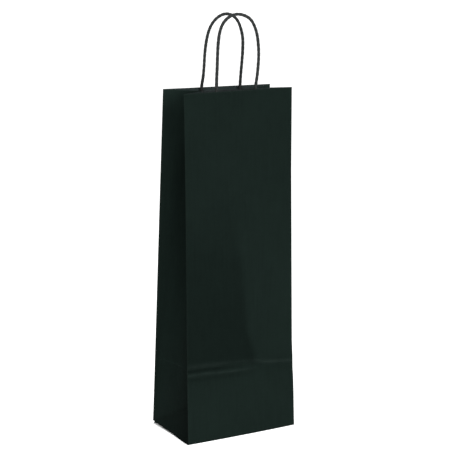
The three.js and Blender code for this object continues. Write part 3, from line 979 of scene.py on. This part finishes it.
# ---- The seam and the block bottom -----------------------------------------------------

SEAM_SEED, SEAM_ENDS = 83, 4 * MM
SEAM_COLUMN, SEAM_ROW = 0.9 * MM, 3 * MM
SEAM_DEPTH, SEAM_RIPPLE = 0.5 * MM, 0.15 * MM  # from the back panel's outer face

FLAP_INSET = 0.8 * MM
FLAP_OVERLAP = 9 * MM
FLAP_LEVEL = 0.55 * MM           # of the flap that was folded last
FLAP_CLIMB = 0.5 * MM            # of the inner flap, over that one
FLAP_STEP = 4 * MM               # length of the slope where it climbs
FLAP_WAVES = (0.1 * MM, 24 * MM)
FLAP_COLUMNS = 90
FLAP_ROW, FLAP_EDGE_ROW = 1.8 * MM, 0.5 * MM
OUTER_FLAP_SEED, INNER_FLAP_SEED = 91, 92


def make_seam():
    """The lap inside the back panel that closes the sheet into a tube."""
    low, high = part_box("back_seam_lap")
    across = graded(low.x, high.x, SEAM_COLUMN, [])
    up = graded(SEAM_ENDS, HEIGHT - SEAM_ENDS, SEAM_ROW, [])
    out = back_shape(-across[None, :], up[:, None], 0)[0] * smoothstep(0, FOOT_REACH, up)[:, None]
    seam = panel_sheet("back_seam", "back", across, up, SEAM_DEPTH - out, bag_paper,
                       SEAM_SEED, SEAM_RIPPLE)
    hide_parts("back_seam_lap")


make_seam()


def lying_sheet(name, outline, height, seed, nodes):
    """A flap of the bottom, whose outline gives its half width along X at each y."""
    ys, halves = outline
    ends = [(y, 0, FLAP_EDGE_ROW) for y in (ys[0], ys[-1])]
    rows = graded(ys[0], ys[-1], FLAP_ROW, ends)
    half = np.interp(rows, ys, halves)
    share = np.linspace(-1, 1, FLAP_COLUMNS)
    x = half[:, None] * share[None, :]
    y = np.repeat(rows[:, None], len(share), axis=1)
    depth, wavelength = FLAP_WAVES
    z = height(y) + depth * waves(seed, x, y, wavelength)
    outer = np.stack([x, y, z], axis=-1)
    rim = np.minimum(half[:, None] - np.abs(x), np.minimum(y - ys[0], ys[-1] - y))
    paper = np.stack([x, y, 0 * x + seed], axis=-1)
    piece = closed_sheet(name, outer, PAPER, paper, RIM_WEAR * ridge(rim, RIM_WIDTH), bag_paper)
    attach(piece, "base")
    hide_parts(*nodes)
    return piece


def outer_flap_height(y):
    return FLAP_LEVEL + 0 * y


def inner_flap_height(y):
    return FLAP_LEVEL + FLAP_CLIMB * smoothstep(FLAP_OVERLAP + FLAP_STEP, FLAP_OVERLAP, y)


def make_bottom():
    edge = HALF_DEPTH - FLAP_INSET
    half = HALF_WIDTH - FLAP_INSET
    tip = HALF_WIDTH - HALF_DEPTH
    lying_sheet("bottom_flap_outer", ([-edge, 0, FLAP_OVERLAP], [half, tip, tip]),
                outer_flap_height, OUTER_FLAP_SEED, ["base_flap_outer"])
    lying_sheet("bottom_flap_inner", ([-FLAP_OVERLAP, 0, edge], [tip, tip, half]),
                inner_flap_height, INNER_FLAP_SEED, ["base_flap_inner"])


make_bottom()

for tuck in ("base_tuck_left", "base_tuck_right"):
    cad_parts[tuck].data.materials.clear()
    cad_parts[tuck].data.materials.append(tuck_paper)


# ---- Floor and light -------------------------------------------------------------------

FLOOR_SIZE = 6.0
FLOOR_COLOUR = (0.92, 0.92, 0.92, 1)
FLOOR_ROUGHNESS = 0.9
WHITE = (1, 1, 1, 1)
ROOM = 0.35      # strength of the room's light on the bag
BACKDROP = 1.3   # strength of the white that the camera sees behind it

SUN_STRENGTH, SUN_SPREAD = 3.0, 8  # straight down, so that no shadow shows beside the bag

# Place, target, size and watts of each lamp
LAMPS = {
    "key": ((0.5, -1.9, 0.8), (0, 0, 0.2), (0.9, 0.9), 34),
    "side": ((-1.6, -0.9, 1.5), (0, 0, 0.3), (1.0, 1.0), 26),
}


def make_floor():
    mesh = bpy.data.meshes.new("floor")
    corners = [(-1, -1), (1, -1), (1, 1), (-1, 1)]
    mesh.from_pydata([(x * FLOOR_SIZE, y * FLOOR_SIZE, 0) for x, y in corners], [], [(0, 1, 2, 3)])
    n = Nodes("floor")
    n.shader.inputs["Base Color"].default_value = FLOOR_COLOUR
    n.shader.inputs["Roughness"].default_value = FLOOR_ROUGHNESS
    mesh.materials.append(n.material)
    floor = bpy.data.objects.new("floor", mesh)
    bpy.context.scene.collection.objects.link(floor)


def make_light(name, place, target, size, watts):
    data = bpy.data.lights.new(name, "AREA")
    data.shape = "RECTANGLE"
    data.size, data.size_y = size
    data.energy = watts
    light = bpy.data.objects.new(name, data)
    light.location = place
    light.rotation_mode = "QUATERNION"
    light.rotation_quaternion = (Vector(target) - Vector(place)).to_track_quat("-Z", "Y")
    bpy.context.scene.collection.objects.link(light)


def make_sun():
    data = bpy.data.lights.new("sun", "SUN")
    data.energy = SUN_STRENGTH
    data.angle = math.radians(SUN_SPREAD)
    bpy.context.scene.collection.objects.link(bpy.data.objects.new("sun", data))


def make_world():
    """White behind the bag, and a dimmer room for everything that the bag is lit by."""
    world = bpy.data.worlds.new("studio")
    world.use_nodes = True
    tree = world.node_tree
    rays = tree.nodes.new("ShaderNodeLightPath")
    strength = tree.nodes.new("ShaderNodeMapRange")
    strength.inputs["To Min"].default_value = ROOM
    strength.inputs["To Max"].default_value = BACKDROP
    tree.links.new(rays.outputs["Is Camera Ray"], strength.inputs["Value"])
    background = tree.nodes["Background"]
    background.inputs["Color"].default_value = WHITE
    tree.links.new(strength.outputs["Result"], background.inputs["Strength"])
    bpy.context.scene.world = world
    bpy.context.scene.view_settings.view_transform = "Standard"


make_floor()
make_world()
make_sun()
for name, values in LAMPS.items():
    make_light(name, *values)
